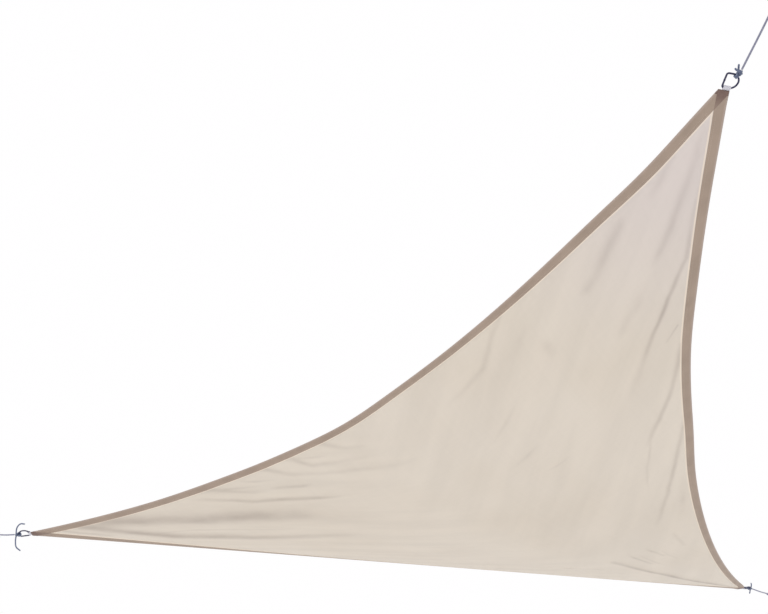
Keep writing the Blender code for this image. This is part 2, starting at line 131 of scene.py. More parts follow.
# A crease gives its half width, then the stops on its way: shares of the left and of the right corner, and
# how dark it is there. Creases spread from the corners, and in fans from the hems.
Crease = namedtuple("Crease", "width stops")
CREASES = (
    Crease(0.012, ((0.012, 0.055, 0.0), (0.020, 0.099, 0.5), (0.022, 0.143, 1.0), (0.044, 0.169, 1.1),
                   (0.064, 0.201, 0.8), (0.078, 0.224, 0.0))),
    Crease(0.022, ((0.060, 0.195, 0.0), (0.070, 0.212, 0.45), (0.084, 0.235, 0.4), (0.097, 0.265, 0.0))),
    Crease(0.019, ((0.023, 0.024, 0.2), (0.037, 0.056, 0.45), (0.052, 0.091, 0.6), (0.064, 0.103, 0.5),
                   (0.074, 0.112, 0.0))),
    Crease(0.018, ((0.062, 0.020, 0.2), (0.075, 0.026, 0.5), (0.090, 0.033, 0.0))),
    Crease(0.023, ((0.117, 0.028, 0.0), (0.124, 0.034, 0.5), (0.145, 0.053, 0.65), (0.150, 0.060, 0.4),
                   (0.164, 0.066, 0.5), (0.172, 0.070, 0.0))),
    Crease(0.024, ((0.076, 0.118, 0.0), (0.090, 0.137, 0.35), (0.109, 0.154, 0.25), (0.116, 0.160, 0.0))),
    Crease(0.006, ((0.023, 0.217, 0.6), (0.037, 0.226, 0.3), (0.040, 0.228, 0.0))),
    Crease(0.014, ((0.014, 0.250, 0.5), (0.019, 0.268, 0.9), (0.037, 0.308, 0.9), (0.054, 0.327, 0.8),
                   (0.069, 0.344, 0.5), (0.080, 0.358, 0.0))),
    Crease(0.008, ((0.066, 0.337, 0.0), (0.072, 0.360, 0.4), (0.080, 0.395, 0.4), (0.082, 0.421, 0.3),
                   (0.086, 0.450, 0.0))),
    Crease(0.013, ((0.013, 0.360, 0.3), (0.016, 0.374, 0.7), (0.051, 0.477, 0.8), (0.074, 0.518, 0.5),
                   (0.090, 0.545, 0.0))),
    Crease(0.024, ((0.016, 0.450, 0.0), (0.030, 0.520, 0.45), (0.045, 0.575, 0.0))),
    Crease(0.019, ((0.195, 0.594, 0.0), (0.190, 0.606, 0.7), (0.156, 0.672, 1.1), (0.077, 0.845, 1.2),
                   (0.035, 0.930, 1.0), (0.020, 0.960, 0.4))),
    Crease(0.010, ((0.160, 0.590, 0.0), (0.150, 0.613, 0.6), (0.131, 0.657, 0.5), (0.126, 0.668, 0.0))),
    Crease(0.010, ((0.124, 0.592, 0.0), (0.115, 0.611, 0.7), (0.101, 0.642, 0.5), (0.096, 0.652, 0.0))),
    Crease(0.012, ((0.066, 0.586, 0.0), (0.062, 0.600, 0.4), (0.055, 0.640, 0.3), (0.046, 0.655, 0.0))),
    Crease(0.060, ((0.925, 0.012, 0.4), (0.900, 0.021, 1.1), (0.862, 0.038, 1.4), (0.756, 0.093, 1.2),
                   (0.643, 0.142, 0.6), (0.566, 0.191, 0.2), (0.500, 0.225, 0.0))),
    Crease(0.036, ((0.945, 0.012, 0.2), (0.927, 0.022, 1.1), (0.862, 0.082, 1.3), (0.812, 0.128, 1.2),
                   (0.707, 0.189, 0.9), (0.576, 0.245, 0.3), (0.500, 0.280, 0.0))),
    Crease(0.017, ((0.790, 0.022, 0.0), (0.764, 0.034, 0.6), (0.693, 0.075, 1.1), (0.597, 0.117, 0.8),
                   (0.560, 0.132, 0.0))),
    Crease(0.017, ((0.775, 0.012, 0.3), (0.756, 0.016, 0.7), (0.694, 0.053, 0.5), (0.670, 0.062, 0.0))),
    Crease(0.013, ((0.672, 0.056, 0.0), (0.659, 0.062, 0.5), (0.618, 0.078, 0.6), (0.600, 0.084, 0.0))),
    Crease(0.016, ((0.684, 0.013, 0.3), (0.670, 0.018, 0.7), (0.636, 0.044, 0.5), (0.559, 0.080, 0.4),
                   (0.480, 0.110, 0.2), (0.420, 0.130, 0.0))),
    Crease(0.014, ((0.642, 0.013, 0.3), (0.630, 0.018, 0.7), (0.600, 0.044, 0.6), (0.540, 0.066, 0.2),
                   (0.480, 0.086, 0.0))),
    Crease(0.015, ((0.588, 0.012, 0.3), (0.580, 0.016, 0.7), (0.549, 0.040, 0.4), (0.500, 0.060, 0.0))),
    Crease(0.013, ((0.965, 0.010, 0.3), (0.950, 0.022, 0.9), (0.895, 0.076, 0.5), (0.880, 0.090, 0.0))),
    Crease(0.014, ((0.292, 0.012, 0.2), (0.302, 0.022, 0.4), (0.317, 0.057, 0.4), (0.345, 0.066, 0.3),
                   (0.385, 0.073, 0.0))),
    Crease(0.022, ((0.250, 0.045, 0.0), (0.264, 0.060, 0.3), (0.280, 0.077, 0.0))),
    Crease(0.026, ((0.228, 0.076, 0.0), (0.218, 0.095, 0.4), (0.205, 0.120, 0.0))),
    Crease(0.010, ((0.270, 0.138, 0.0), (0.290, 0.154, 0.3), (0.320, 0.176, 0.0))),
    Crease(0.010, ((0.240, 0.219, 0.0), (0.262, 0.227, 0.3), (0.290, 0.235, 0.0))),
    Crease(0.007, ((0.240, 0.276, 0.0), (0.220, 0.277, 0.35), (0.193, 0.276, 0.0))),
    Crease(0.007, ((0.300, 0.575, 0.0), (0.272, 0.590, 0.6), (0.250, 0.603, 0.0))),
    Crease(0.040, ((0.020, 0.150, 0.0), (0.050, 0.178, 0.22), (0.080, 0.215, 0.0))),
    Crease(0.034, ((0.180, 0.610, 0.0), (0.130, 0.730, 0.30), (0.070, 0.860, 0.35), (0.040, 0.920, 0.0))),
    Crease(0.050, ((0.800, 0.060, 0.0), (0.700, 0.105, 0.30), (0.600, 0.160, 0.0))),
    Crease(0.008, ((0.735, 0.025, 0.2), (0.715, 0.032, 0.5), (0.680, 0.046, 0.0))),
    Crease(0.008, ((0.708, 0.022, 0.3), (0.690, 0.032, 0.5), (0.655, 0.046, 0.0))),
    Crease(0.008, ((0.622, 0.020, 0.3), (0.600, 0.030, 0.5), (0.575, 0.040, 0.0))),
    Crease(0.010, ((0.640, 0.100, 0.0), (0.590, 0.120, 0.4), (0.530, 0.145, 0.0))),
    Crease(0.010, ((0.840, 0.100, 0.0), (0.780, 0.120, 0.4), (0.700, 0.160, 0.3), (0.640, 0.190, 0.0))),
    Crease(0.008, ((0.140, 0.610, 0.0), (0.125, 0.650, 0.4), (0.105, 0.700, 0.0))),
    Crease(0.008, ((0.105, 0.610, 0.0), (0.090, 0.650, 0.4), (0.075, 0.690, 0.0))),
    Crease(0.008, ((0.345, 0.545, 0.0), (0.315, 0.565, 0.4), (0.285, 0.580, 0.0))),
    Crease(0.007, ((0.245, 0.612, 0.0), (0.227, 0.628, 0.6), (0.212, 0.645, 0.0))),
)

Rope = namedtuple("Rope", "pull run tails")
ROPES = {
    "high": Rope((0.345, -0.642, 0.685), 0.300, (
        ((0.002, 0.006, 0.002), (0.007, 0.013, 0.004), (0.012, 0.021, 0.003)),
        ((0.002, 0.005, -0.005), (0.012, 0.008, -0.007), (0.022, 0.011, -0.006)),
    )),
    "left": Rope((-0.9996, 0.0287, 0.0), 0.165, (
        ((-0.002, -0.006, -0.003), (-0.006, -0.022, -0.018), (-0.022, -0.030, -0.032),
         (-0.044, -0.028, -0.030)),
        ((0.004, 0.006, 0.004), (0.010, 0.020, 0.020), (0.008, 0.032, 0.042), (-0.010, 0.042, 0.058)),
    )),
    "right": Rope((0.596, 0.792, -0.136), 0.335, (
        ((0.000, 0.004, -0.006), (0.002, 0.008, -0.017), (-0.002, 0.010, -0.026)),
        ((0.002, -0.004, 0.006), (0.004, -0.006, 0.016), (0.002, -0.008, 0.026)),
    )),
}


# ---------------------------------------------------------------- shape of the cloth


def unit(vector):
    vector = np.asarray(vector, float)
    return vector / np.linalg.norm(vector)


def corner_points():
    high = -ROPES["high"].run * unit(ROPES["high"].pull)
    points = {"high": high}
    for name, drop, heading in (("left", LEFT_DROP, LEFT_HEADING), ("right", RIGHT_DROP, RIGHT_HEADING)):
        run = math.sqrt(SIDE**2 - drop**2)
        angle = math.radians(heading)
        points[name] = high + np.array([run * math.cos(angle), run * math.sin(angle), -drop])
    return points


POINTS = corner_points()
TOP_FACE = unit(np.cross(POINTS["right"] - POINTS["high"], POINTS["left"] - POINTS["high"]))


def edge_vectors(edge):
    start, end = POINTS[edge.start], POINTS[edge.end]
    third = POINTS[next(name for name in CORNERS if name not in (edge.start, edge.end))]
    along = unit(end - start)
    inward = third - (start + end) / 2
    inward = unit(inward - inward.dot(along) * along)
    return inward, edge.bow * inward - edge.sag * UP, edge.bow_lean * inward - edge.sag_lean * UP


def edge_shift(edge, start, end):
    """How an edge moves the cloth: its bow and hang over the whole sail, and its small waves close by."""
    inward, middle, lean = edge_vectors(edge)
    shift = 4 * start * end * (middle + (start - end) * lean)
    place = end / np.maximum(start + end, 1e-6)
    for where, reach, depth in edge.waves:
        shift = shift + depth * np.exp(-(((place - where) / reach) ** 2)) * (start + end) ** 8 * inward
    return shift


def smooth_point(shares):
    """The stretched surface with no creases, for arrays of shares of the high, left and right corner."""
    share_of = dict(zip(CORNERS, shares))
    point = sum(share_of[name][..., None] * POINTS[name] for name in CORNERS)
    for edge in EDGES:
        point = point + edge_shift(edge, share_of[edge.start][..., None], share_of[edge.end][..., None])
    return point - 27 * (shares[0] * shares[1] * shares[2])[..., None] * BELLY * UP


def flat_place(left, right):
    """Place on the sail laid flat: the high corner at zero and the left corner along the first axis."""
    return np.stack([SIDE * (left + right / 2), SIDE * math.sqrt(3) / 2 * right], -1)


def run_share(flat, start, along):
    """How far along a straight run each place on the sail laid flat is, and its distance from the run."""
    share = np.clip((flat - start) @ along / along.dot(along), 0, 1)
    return share, np.linalg.norm(flat - start - share[..., None] * along, axis=-1)


def crease_runs(crease):
    """Start, direction with length, and the darkness at both ends of each straight run of a crease."""
    for (left_1, right_1, dark_1), (left_2, right_2, dark_2) in zip(crease.stops, crease.stops[1:]):
        start = flat_place(left_1, right_1)
        yield start, flat_place(left_2, right_2) - start, dark_1, dark_2


def crease_height(flat):
    """How far creases and slack lift the cloth towards its top face."""
    height = np.zeros(flat.shape[:-1])
    for crease in CREASES:
        dips = []
        for start, along, first_dark, last_dark in crease_runs(crease):
            share, away = run_share(flat, start, along)
            depth = np.minimum(first_dark + (last_dark - first_dark) * share, 1)
            dips.append(depth * np.exp(-((away / (crease.width + CREASE_DIP_SPREAD)) ** 2)))
        height -= CREASE_DIP * np.max(dips, axis=0)
    chance = np.random.default_rng(5)
    for _ in range(LIFTS):
        middle = flat_place(*(chance.dirichlet((1.2, 1.2, 1.2))[:2]))
        heading = math.radians(chance.normal(*(LEFT_LIFT_HEADING if middle[0] > LEFT_PART else LIFT_HEADING)))
        along = (flat - middle) @ np.array([math.cos(heading), math.sin(heading)])
        across = (flat - middle) @ np.array([-math.sin(heading), math.cos(heading)])
        long, wide = chance.uniform(0.10, 0.30), chance.uniform(0.03, 0.06)
        lift = chance.uniform(-LIFT_HEIGHT, LIFT_HEIGHT)
        height += lift * np.exp(-((along / long) ** 2) - (across / wide) ** 2)
    return height


def hem_scale(edge, place):
    """Width of an edge's hem at places along it, as a share of the full width."""
    losses = [share * np.exp(-(((place - where) / reach) ** 2)) for where, reach, share in edge.narrowings]
    return 1 - sum(losses)


def edge_reach(edge, position):
    """Metres of cloth, square to an edge, for each unit of the third corner's share."""
    index, other = CORNERS.index(edge.start), CORNERS.index(edge.end)
    small = 1e-4

    def at(along, across):
        shares = [None] * 3
        shares[index] = (1 - along) * (1 - across)
        shares[other] = along * (1 - across)
        shares[3 - index - other] = across + 0 * along
        return smooth_point(shares)

    inward = (at(position, small) - at(position, 0)) / small
    along = at(position + small, 0) - at(position - small, 0)
    along /= np.linalg.norm(along, axis=-1)[..., None]
    return np.linalg.norm(inward - (inward * along).sum(-1)[..., None] * along, axis=-1)


def from_edge(edge, shares):
    """Metres in from an edge, true near it, and stretched where the hem narrows."""
    start, end = shares[CORNERS.index(edge.start)], shares[CORNERS.index(edge.end)]
    third = shares[3 - CORNERS.index(edge.start) - CORNERS.index(edge.end)]
    place = end / np.maximum(start + end, 1e-6)
    return third * edge_reach(edge, place) / hem_scale(edge, place)


def edge_between(corner, neighbour):
    return next(edge for edge in EDGES if {edge.start, edge.end} == {corner, neighbour})


def patch_rows(corner, neighbour, ratio, cells):
    """Row positions of a corner's patch: the rows of the hem, then even rows to the middle of the sail."""
    position = ratio / (1 + ratio)
    edge = edge_between(corner, neighbour)
    place = position if edge.start == corner else 1 - position
    reach = edge_reach(edge, place)
    row = np.arange(cells + 1)
    width = np.array([0, *HEM_ROWS])[np.minimum(row, len(HEM_ROWS))] * hem_scale(edge, place)
    hem = width * (1 + ratio) / (reach - width)
    even = np.clip(row - len(HEM_ROWS), 0, None) / (cells - len(HEM_ROWS))
    return hem + (1 - hem) * even


def patch_shares(corner, cells):
    """Shares of the grid points of the patch between a corner, its two edge middles and the sail's middle."""
    index = CORNERS.index(corner)
    follower, leader = CORNERS[(index + 1) % 3], CORNERS[(index + 2) % 3]
    across = np.tile(np.linspace(0, 1, cells + 1), (cells + 1, 1))
    along = across.T.copy()
    for _ in range(20):
        along = patch_rows(corner, leader, across.T, cells).T
        across = patch_rows(corner, follower, along, cells)
    shares = [None] * 3
    whole = 1 + along + across
    shares[index] = 1 / whole
    shares[CORNERS.index(follower)] = along / whole
    shares[CORNERS.index(leader)] = across / whole
    return np.stack(shares)


def corner_frame(corner):
    """Axes at a corner's knot: pull from the tip outwards, sideways along the tip, and across the face."""
    seam = HEM_ROWS.index(HEM_WIDTH) + 1
    shares = patch_shares(corner, len(HEM_ROWS) + 4)
    outer = smooth_point(shares[:, 0, 0])
    tips = [smooth_point(shares[:, seam, 0]), smooth_point(shares[:, 0, seam])]
    tips = [tip + cut * (outer - tip) for tip, cut in zip(tips, TIP_CUTS[corner])]
    tip_1, tip_2 = tips[::-1] if corner == "right" else tips
    tip = (tip_1 + tip_2) / 2
    side = unit(tip_1 - tip_2)
    pull = POINTS[corner] - tip
    pull = pull - pull.dot(side) * side
    length = float(np.linalg.norm(pull))
    pull = pull / length
    axes = np.stack([pull, side, np.cross(pull, side), tip + length * pull], axis=1)
    return Matrix([*axes.tolist(), (0, 0, 0, 1)]), length


def knot_frame(corner, frame, far_wire, low):
    """Axes at the centre of a ring's knot: outwards from the wire, along it and across the sail's face."""
    turned = Matrix.Rotation(-math.radians(KNOT_TURNS[corner]), 4, "Z")
    bend = Matrix.Translation((far_wire - RING_LENGTH / 2, low, 0))
    return frame @ bend @ turned @ Matrix.Translation((RING_LENGTH / 2 + KNOT_REACH, 0, 0))


def turned_tail(corner, tail):
    """A free end's points, given along the pull and sideways, in the knot's own axes."""
    turn = Matrix.Rotation(math.radians(KNOT_TURNS[corner]), 3, "Z")
    return [tuple(turn @ Vector(point)) for point in tail]


# ---------------------------------------------------------------- finishes

# Cloth, from one layer to the crossed layers at the tips; hems and tips in painted shade of light from behind
CREAM = (0.738, 0.667, 0.580, 1)
LILAC = (0.700, 0.628, 0.602, 1)
SAND = (0.690, 0.612, 0.515, 1)
# Painted light: the bright line on the cloth beside the hem's seam
SEAM_PAINTED_LIGHT = (0.93, 0.80, 0.66, 1)
# Painted shade: the hem's layers and the crossed layers at the tips let less light from behind through
HEM_SHADE_PALE = (0.400, 0.310, 0.248, 1)
HEM_SHADE_DEEP = (0.355, 0.275, 0.220, 1)
HEM_RIM_SHADE = (0.455, 0.370, 0.325, 1)
CROSSED_HEMS_SHADE = (0.195, 0.130, 0.110, 1)
CREASE_SHADE = (0.20, 0.215, 0.215)  # shares of red, green and blue that a crease of darkness 1 takes away
DARKEST_CREASE = 1.8
CREASE_WAVER = 0.030

# Thread, webbing, steel and rope
THREAD_DEEP, THREAD_PALE = (0.50, 0.41, 0.34, 1), (0.58, 0.48, 0.40, 1)
# Webbing: pale, with painted shade in the grooves of its weave
WEBBING_GROOVE_SHADE, WEBBING_PALE = (0.50, 0.49, 0.56, 1), (0.80, 0.79, 0.85, 1)
RIB_RATE, PICK_RATE = 3400.0, 2600.0  # radians a metre of the webbing's ribs and cross threads
# Painted shade: steel coloured near black, as dark as the ring looks against the light from behind
STEEL_SHADE_DEEP, STEEL_SHADE_PALE = (0.040, 0.040, 0.085, 1), (0.085, 0.085, 0.130, 1)
# Painted shade: white rope coloured grey-lilac as seen in shade, darker in the hollows between strands
ROPE_SHADE_DEEP, ROPE_SHADE_PALE = (0.13, 0.135, 0.21, 1), (0.34, 0.345, 0.46, 1)
# Painted shade: a darker copy of the rope for the knots
KNOT_SHADE_DEEP, KNOT_SHADE_PALE = (0.05, 0.07, 0.14, 1), (0.15, 0.19, 0.31, 1)
ROPE_FLECK = (0.52, 0.52, 0.60, 1)


def new_group(name, inputs, outputs):
    group = bpy.data.node_groups.new(name, "ShaderNodeTree")
    for label, kind, value in inputs:
        socket = group.interface.new_socket(name=label, in_out="INPUT", socket_type=f"NodeSocket{kind}")
        if value is not None:
            socket.default_value = value
    for label, kind in outputs:
        group.interface.new_socket(name=label, in_out="OUTPUT", socket_type=f"NodeSocket{kind}")
    return group, group.nodes.new("NodeGroupInput").outputs, group.nodes.new("NodeGroupOutput").inputs


def wire(tree, value, socket):
    if isinstance(value, bpy.types.NodeSocket):
        tree.links.new(value, socket)
    else:
        socket.default_value = value


def calc(tree, operation, *values):
    node = tree.nodes.new("ShaderNodeMath")
    node.operation = operation
    for value, socket in zip(values, node.inputs):
        wire(tree, value, socket)
    return node.outputs[0]


def ramp(tree, value, low, high, out_low=0.0, out_high=1.0):
    node = tree.nodes.new("ShaderNodeMapRange")
    node.interpolation_type = "SMOOTHSTEP"
    for number, item in enumerate((value, low, high, out_low, out_high)):
        wire(tree, item, node.inputs[number])
    return node.outputs[0]


def blend(tree, amount, first, second, mode="MIX"):
    node = tree.nodes.new("ShaderNodeMix")
    node.data_type = "RGBA"
    node.blend_type = mode
    for value, socket in zip((amount, first, second), (node.inputs[0], node.inputs[6], node.inputs[7])):
        wire(tree, value, socket)
    return node.outputs[2]


def noise(tree, vector, scale, detail=3.0, stretch=None, colour=False):
    if stretch is not None:
        node = tree.nodes.new("ShaderNodeMapping")
        node.inputs["Scale"].default_value = stretch
        tree.links.new(vector, node.inputs["Vector"])
        vector = node.outputs[0]
    node = tree.nodes.new("ShaderNodeTexNoise")
    tree.links.new(vector, node.inputs["Vector"])
    node.inputs["Scale"].default_value = scale
    node.inputs["Detail"].default_value = detail
    return node.outputs["Color" if colour else 0]


def attribute(tree, name):
    node = tree.nodes.new("ShaderNodeAttribute")
    node.attribute_name = name
    return node.outputs["Fac"]


def uv(tree):
    return tree.nodes.new("ShaderNodeUVMap").outputs[0]


def plain_weave_group():
    """Crossing threads: height over and under, and the tone of each thread."""
    group, given, made = new_group(
        "plain weave", [("Flat", "Vector", None), ("Threads", "Float", 1400.0)],
        [("Height", "Float"), ("Tone", "Float")])
    split = group.nodes.new("ShaderNodeSeparateXYZ")
    group.links.new(given["Flat"], split.inputs[0])
    warp = calc(group, "MULTIPLY", split.outputs[0], given["Threads"])
    weft = calc(group, "MULTIPLY", split.outputs[1], given["Threads"])
    over_warp = calc(group, "SINE", calc(group, "MULTIPLY", warp, math.pi))
    over_weft = calc(group, "SINE", calc(group, "MULTIPLY", weft, math.pi))
    crossing = calc(group, "MULTIPLY", over_warp, over_weft)
    group.links.new(calc(group, "ABSOLUTE", crossing), made["Height"])
    slub_warp = noise(group, given["Flat"], 60.0, 2.0, (1.0, 0.02, 1.0))
    slub_weft = noise(group, given["Flat"], 60.0, 2.0, (0.02, 1.0, 1.0))
    group.links.new(calc(group, "MULTIPLY", calc(group, "ADD", slub_warp, slub_weft), 0.5), made["Tone"])
    return group


def streaks(tree, flat, heading, scale):
    """Painted shade of soft folds: streaks along a heading on the sail laid flat."""
    parts = []
    for angle in (math.radians(heading), math.radians(heading + 90)):
        node = tree.nodes.new("ShaderNodeVectorMath")
        node.operation = "DOT_PRODUCT"
        tree.links.new(flat, node.inputs[0])
        node.inputs[1].default_value = (math.cos(angle), math.sin(angle), 0)
        parts.append(node.outputs["Value"])
    turned = tree.nodes.new("ShaderNodeCombineXYZ")
    tree.links.new(calc(tree, "MULTIPLY", parts[0], 0.16), turned.inputs[0])
    tree.links.new(parts[1], turned.inputs[1])
    return noise(tree, turned.outputs[0], scale, 3.0)


def crease_group():
    """How dark one straight run of a crease is: darkest on its line, changing from its start to its end."""
    group, given, made = new_group(
        "crease run", [("Flat", "Vector", None), ("Start", "Vector", None), ("Along", "Vector", None),
                       ("Width", "Float", 0.01), ("First", "Float", 1.0), ("Last", "Float", 1.0)],
        [("Dark", "Float")])

    def vector(operation, *values):
        node = group.nodes.new("ShaderNodeVectorMath")
        node.operation = operation
        for value, socket in zip(values, node.inputs):
            group.links.new(value, socket)
        return node

    away = vector("SUBTRACT", given["Flat"], given["Start"]).outputs[0]
    reach = vector("DOT_PRODUCT", away, given["Along"]).outputs["Value"]
    whole = vector("DOT_PRODUCT", given["Along"], given["Along"]).outputs["Value"]
    share = calc(group, "MAXIMUM", calc(group, "MINIMUM", calc(group, "DIVIDE", reach, whole), 1.0), 0.0)
    on_line = vector("SCALE", given["Along"])
    group.links.new(share, on_line.inputs["Scale"])
    distance = vector("LENGTH", vector("SUBTRACT", away, on_line.outputs[0]).outputs[0]).outputs["Value"]
    ratio = calc(group, "DIVIDE", distance, given["Width"])
    profile = calc(group, "EXPONENT", calc(group, "MULTIPLY", calc(group, "MULTIPLY", ratio, ratio), -1.0))
    change = calc(group, "SUBTRACT", given["Last"], given["First"])
    dark = calc(group, "ADD", given["First"], calc(group, "MULTIPLY", change, share))
    group.links.new(calc(group, "MULTIPLY", dark, profile), made["Dark"])
    return group


def creases_group(run_group):
    """All the creases together, for a place on the sail laid flat."""
    group, given, made = new_group("creases", [("Flat", "Vector", None)], [("Dark", "Float")])
    total = 0.0
    for crease in CREASES:
        darkest = None
        for start, along, first_dark, last_dark in crease_runs(crease):
            dark = place_group(group, run_group, Flat=given["Flat"], Start=(*start, 0), Along=(*along, 0),
                               Width=crease.width, First=first_dark, Last=last_dark)["Dark"]
            darkest = dark if darkest is None else calc(group, "MAXIMUM", darkest, dark)
        total = calc(group, "ADD", darkest, total)
    group.links.new(total, made["Dark"])
    return group


def place_group(tree, group, **values):
    node = tree.nodes.new("ShaderNodeGroup")
    node.node_tree = group
    for name, value in values.items():
        wire(tree, value, node.inputs[name])
    return node.outputs


def new_finish(name, roughness, metallic=0.0):
    material = bpy.data.materials.new(name)
    material.use_nodes = True
    shader = material.node_tree.nodes["Principled BSDF"]
    shader.inputs["Roughness"].default_value = roughness
    shader.inputs["Metallic"].default_value = metallic
    return material, material.node_tree, shader


def bump(tree, shader, height, distance, strength=1.0):
    node = tree.nodes.new("ShaderNodeBump")
    node.inputs["Distance"].default_value = distance
    node.inputs["Strength"].default_value = strength
    tree.links.new(height, node.inputs["Height"])
    tree.links.new(node.outputs[0], shader.inputs["Normal"])


def cloth_colour(tree, flat, threads):
    """One layer lit from behind: cream, sandy clouds, lilac near the high corner, painted shade streaks."""
    cloudy = ramp(tree, noise(tree, flat, 1.3, 3.0), 0.35, 0.72)
    colour = blend(tree, calc(tree, "MULTIPLY", cloudy, 0.55), CREAM, SAND)
    colour = blend(tree, ramp(tree, attribute(tree, "from_high"), 0.25, 1.15, 0.85, 0.0), colour, LILAC)
    split = tree.nodes.new("ShaderNodeSeparateXYZ")
    tree.links.new(flat, split.inputs[0])
    to_left = ramp(tree, split.outputs[0], 1.6, 2.3)
    right_streaks, left_streaks = streaks(tree, flat, 38, 7.0), streaks(tree, flat, 150, 11.0)
    difference = calc(tree, "SUBTRACT", left_streaks, right_streaks)
    streak = calc(tree, "ADD", right_streaks, calc(tree, "MULTIPLY", to_left, difference))
    thread_tone = ramp(tree, threads["Tone"], 0.3, 0.7, 0.992, 1.008)
    # Painted shade of the soft slack folds, streaked at the headings of the lifts
    fold_shade_tone = ramp(tree, streak, 0.3, 0.68, 0.965, 1.022)
    tone = calc(tree, "MULTIPLY", thread_tone, fold_shade_tone)
    return blend(tree, 1.0, colour, shade_of(tree, tone), "MULTIPLY")


def add_hems(tree, flat, colour, edges, nearest, strength):
    """A painted bright line by the seam; painted shade on the hem's layers and crossed, folded tip layers."""
    # Painted light: a bright line just inside the hem's seam
    seam_light_mask = calc(tree, "MULTIPLY", ramp(tree, nearest, HEM_WIDTH, HEM_WIDTH + 0.001),
                ramp(tree, nearest, HEM_WIDTH + 0.003, HEM_WIDTH + 0.007, 1.0, 0.0))
    colour = blend(tree, calc(tree, "MULTIPLY", seam_light_mask, 0.7), colour, SEAM_PAINTED_LIGHT)
    layers = 0.0
    for distance in edges:
        hem_here = ramp(tree, distance, HEM_WIDTH - 0.0004, HEM_WIDTH + 0.0004, 1.0, 0.0)
        layers = calc(tree, "ADD", layers, hem_here)
    # Painted shade of the hem's layers, with a paler rim at the fold, blended in by the given strength
    hem = blend(tree, ramp(tree, noise(tree, flat, 9.0, 4.0), 0.3, 0.7), HEM_SHADE_PALE, HEM_SHADE_DEEP)
    hem = blend(tree, ramp(tree, nearest, 0.003, 0.008, 0.6, 0.0), hem, HEM_RIM_SHADE)
    colour = blend(tree, calc(tree, "MULTIPLY", ramp(tree, layers, 0.2, 0.8), strength), colour, hem)
    # Painted shade, darkest, where hems cross and where the tip is folded back
    from_tip = attribute(tree, "from_tip")
    folded = ramp(tree, from_tip, TIP_FOLD - 0.0006, TIP_FOLD + 0.0006, 1.0, 0.0)
    crossed = calc(tree, "MAXIMUM", ramp(tree, layers, 1.2, 1.8), folded)
    crossed = calc(tree, "MULTIPLY", crossed, ramp(tree, from_tip, 0.012, 0.060, 1.0, 0.5))
    return blend(tree, calc(tree, "MULTIPLY", crossed, strength), colour, CROSSED_HEMS_SHADE)


def add_creases(tree, flat, colour, creases, nearest):
    """Shade along the creases, which waver round their straight runs and stop at the hem."""
    bend = tree.nodes.new("ShaderNodeVectorMath")
    bend.operation = "MULTIPLY_ADD"
    bend.inputs[1].default_value = (CREASE_WAVER, CREASE_WAVER, 0)
    tree.links.new(noise(tree, flat, 5.0, 2.0, colour=True), bend.inputs[0])
    tree.links.new(flat, bend.inputs[2])
    moved = tree.nodes.new("ShaderNodeVectorMath")
    moved.operation = "SUBTRACT"
    moved.inputs[1].default_value = (CREASE_WAVER / 2, CREASE_WAVER / 2, 0)
    tree.links.new(bend.outputs[0], moved.inputs[0])
    uneven = ramp(tree, noise(tree, flat, 7.0, 2.0), 0.3, 0.7, 0.75, 1.15)
    dark = calc(tree, "MULTIPLY", place_group(tree, creases, Flat=moved.outputs[0])["Dark"], uneven)
    inside = ramp(tree, nearest, HEM_WIDTH, HEM_WIDTH + 0.004)
    dark = calc(tree, "MULTIPLY", calc(tree, "MINIMUM", dark, DARKEST_CREASE), inside)
    shade = tree.nodes.new("ShaderNodeCombineColor")
    for socket, depth in zip(shade.inputs[:3], CREASE_SHADE):
        tree.links.new(calc(tree, "SUBTRACT", 1.0, calc(tree, "MULTIPLY", dark, depth)), socket)
    return blend(tree, 1.0, colour, shade.outputs[0], "MULTIPLY")


def cloth_finish(name, weave, creases, hem_shade_strength):
    """Cream cloth, one layer bright; painted shade darkens the hems, the crossed layers at the tips most."""
    material, tree, shader = new_finish(name, 0.85)
    flat = uv(tree)
    threads = place_group(tree, weave, Flat=flat)
    edges = [attribute(tree, f"from_{edge.start}_{edge.end}") for edge in EDGES]
    nearest = calc(tree, "MINIMUM", calc(tree, "MINIMUM", edges[0], edges[1]), edges[2])
    colour = cloth_colour(tree, flat, threads)
    colour = add_hems(tree, flat, colour, edges, nearest, hem_shade_strength)
    colour = add_creases(tree, flat, colour, creases, nearest)
    tree.links.new(colour, shader.inputs["Base Color"])
    wrinkle = noise(tree, flat, 26.0, 4.0)
    height = calc(tree, "ADD", calc(tree, "MULTIPLY", threads["Height"], 0.15), wrinkle)
    bump(tree, shader, height, 0.0012, 0.5)
    shader.inputs["Sheen Weight"].default_value = 0.15
    shader.inputs["Sheen Roughness"].default_value = 0.5
    shader.inputs["Specular IOR Level"].default_value = 0.2
    return material


def shade_of(tree, value):
    node = tree.nodes.new("ShaderNodeCombineColor")
    for socket in node.inputs[:3]:
        tree.links.new(value, socket)
    return node.outputs[0]


def thread_finish():
    material, tree, shader = new_finish("sewing thread", 0.6)
    place = tree.nodes.new("ShaderNodeTexCoord").outputs["Object"]
    colour = blend(tree, ramp(tree, noise(tree, place, 40.0), 0.3, 0.7), THREAD_DEEP, THREAD_PALE)
    tree.links.new(colour, shader.inputs["Base Color"])
    bump(tree, shader, noise(tree, place, 3000.0), 0.0002)
    return material


